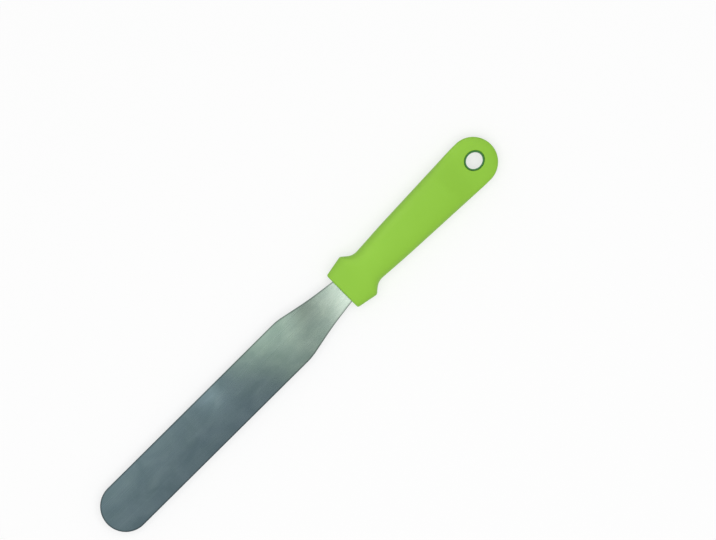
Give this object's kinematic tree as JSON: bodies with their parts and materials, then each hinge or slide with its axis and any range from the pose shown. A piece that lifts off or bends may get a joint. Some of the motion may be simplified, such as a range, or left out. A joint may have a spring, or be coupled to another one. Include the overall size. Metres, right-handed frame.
{
  "type": "icing spatula",
  "caption": "Flat icing spatula: a long round-ended steel strip blade with a drawn-in neck, in a soft green moulded handle with a flared bolster and a hanging hole.",
  "frame": {"origin": "on the plane that the handle's underside rests on, halfway along the whole length, in the blade's plane of symmetry", "axes": "+X along the spatula from the blade's tip towards the handle's end, +Y across the blade, +Z square to the blade's flat"},
  "size_m": [0.33, 0.0322, 0.0177],
  "materials": {
    "stainless_steel": "satin",
    "hard_plastic": "satin",
    "soft_plastic": "matte"
  },
  "bodies": {
    "root": {"blade": "stainless_steel", "handle_core": "hard_plastic", "handle_grip": "soft_plastic"}
  },
  "joints": []
}
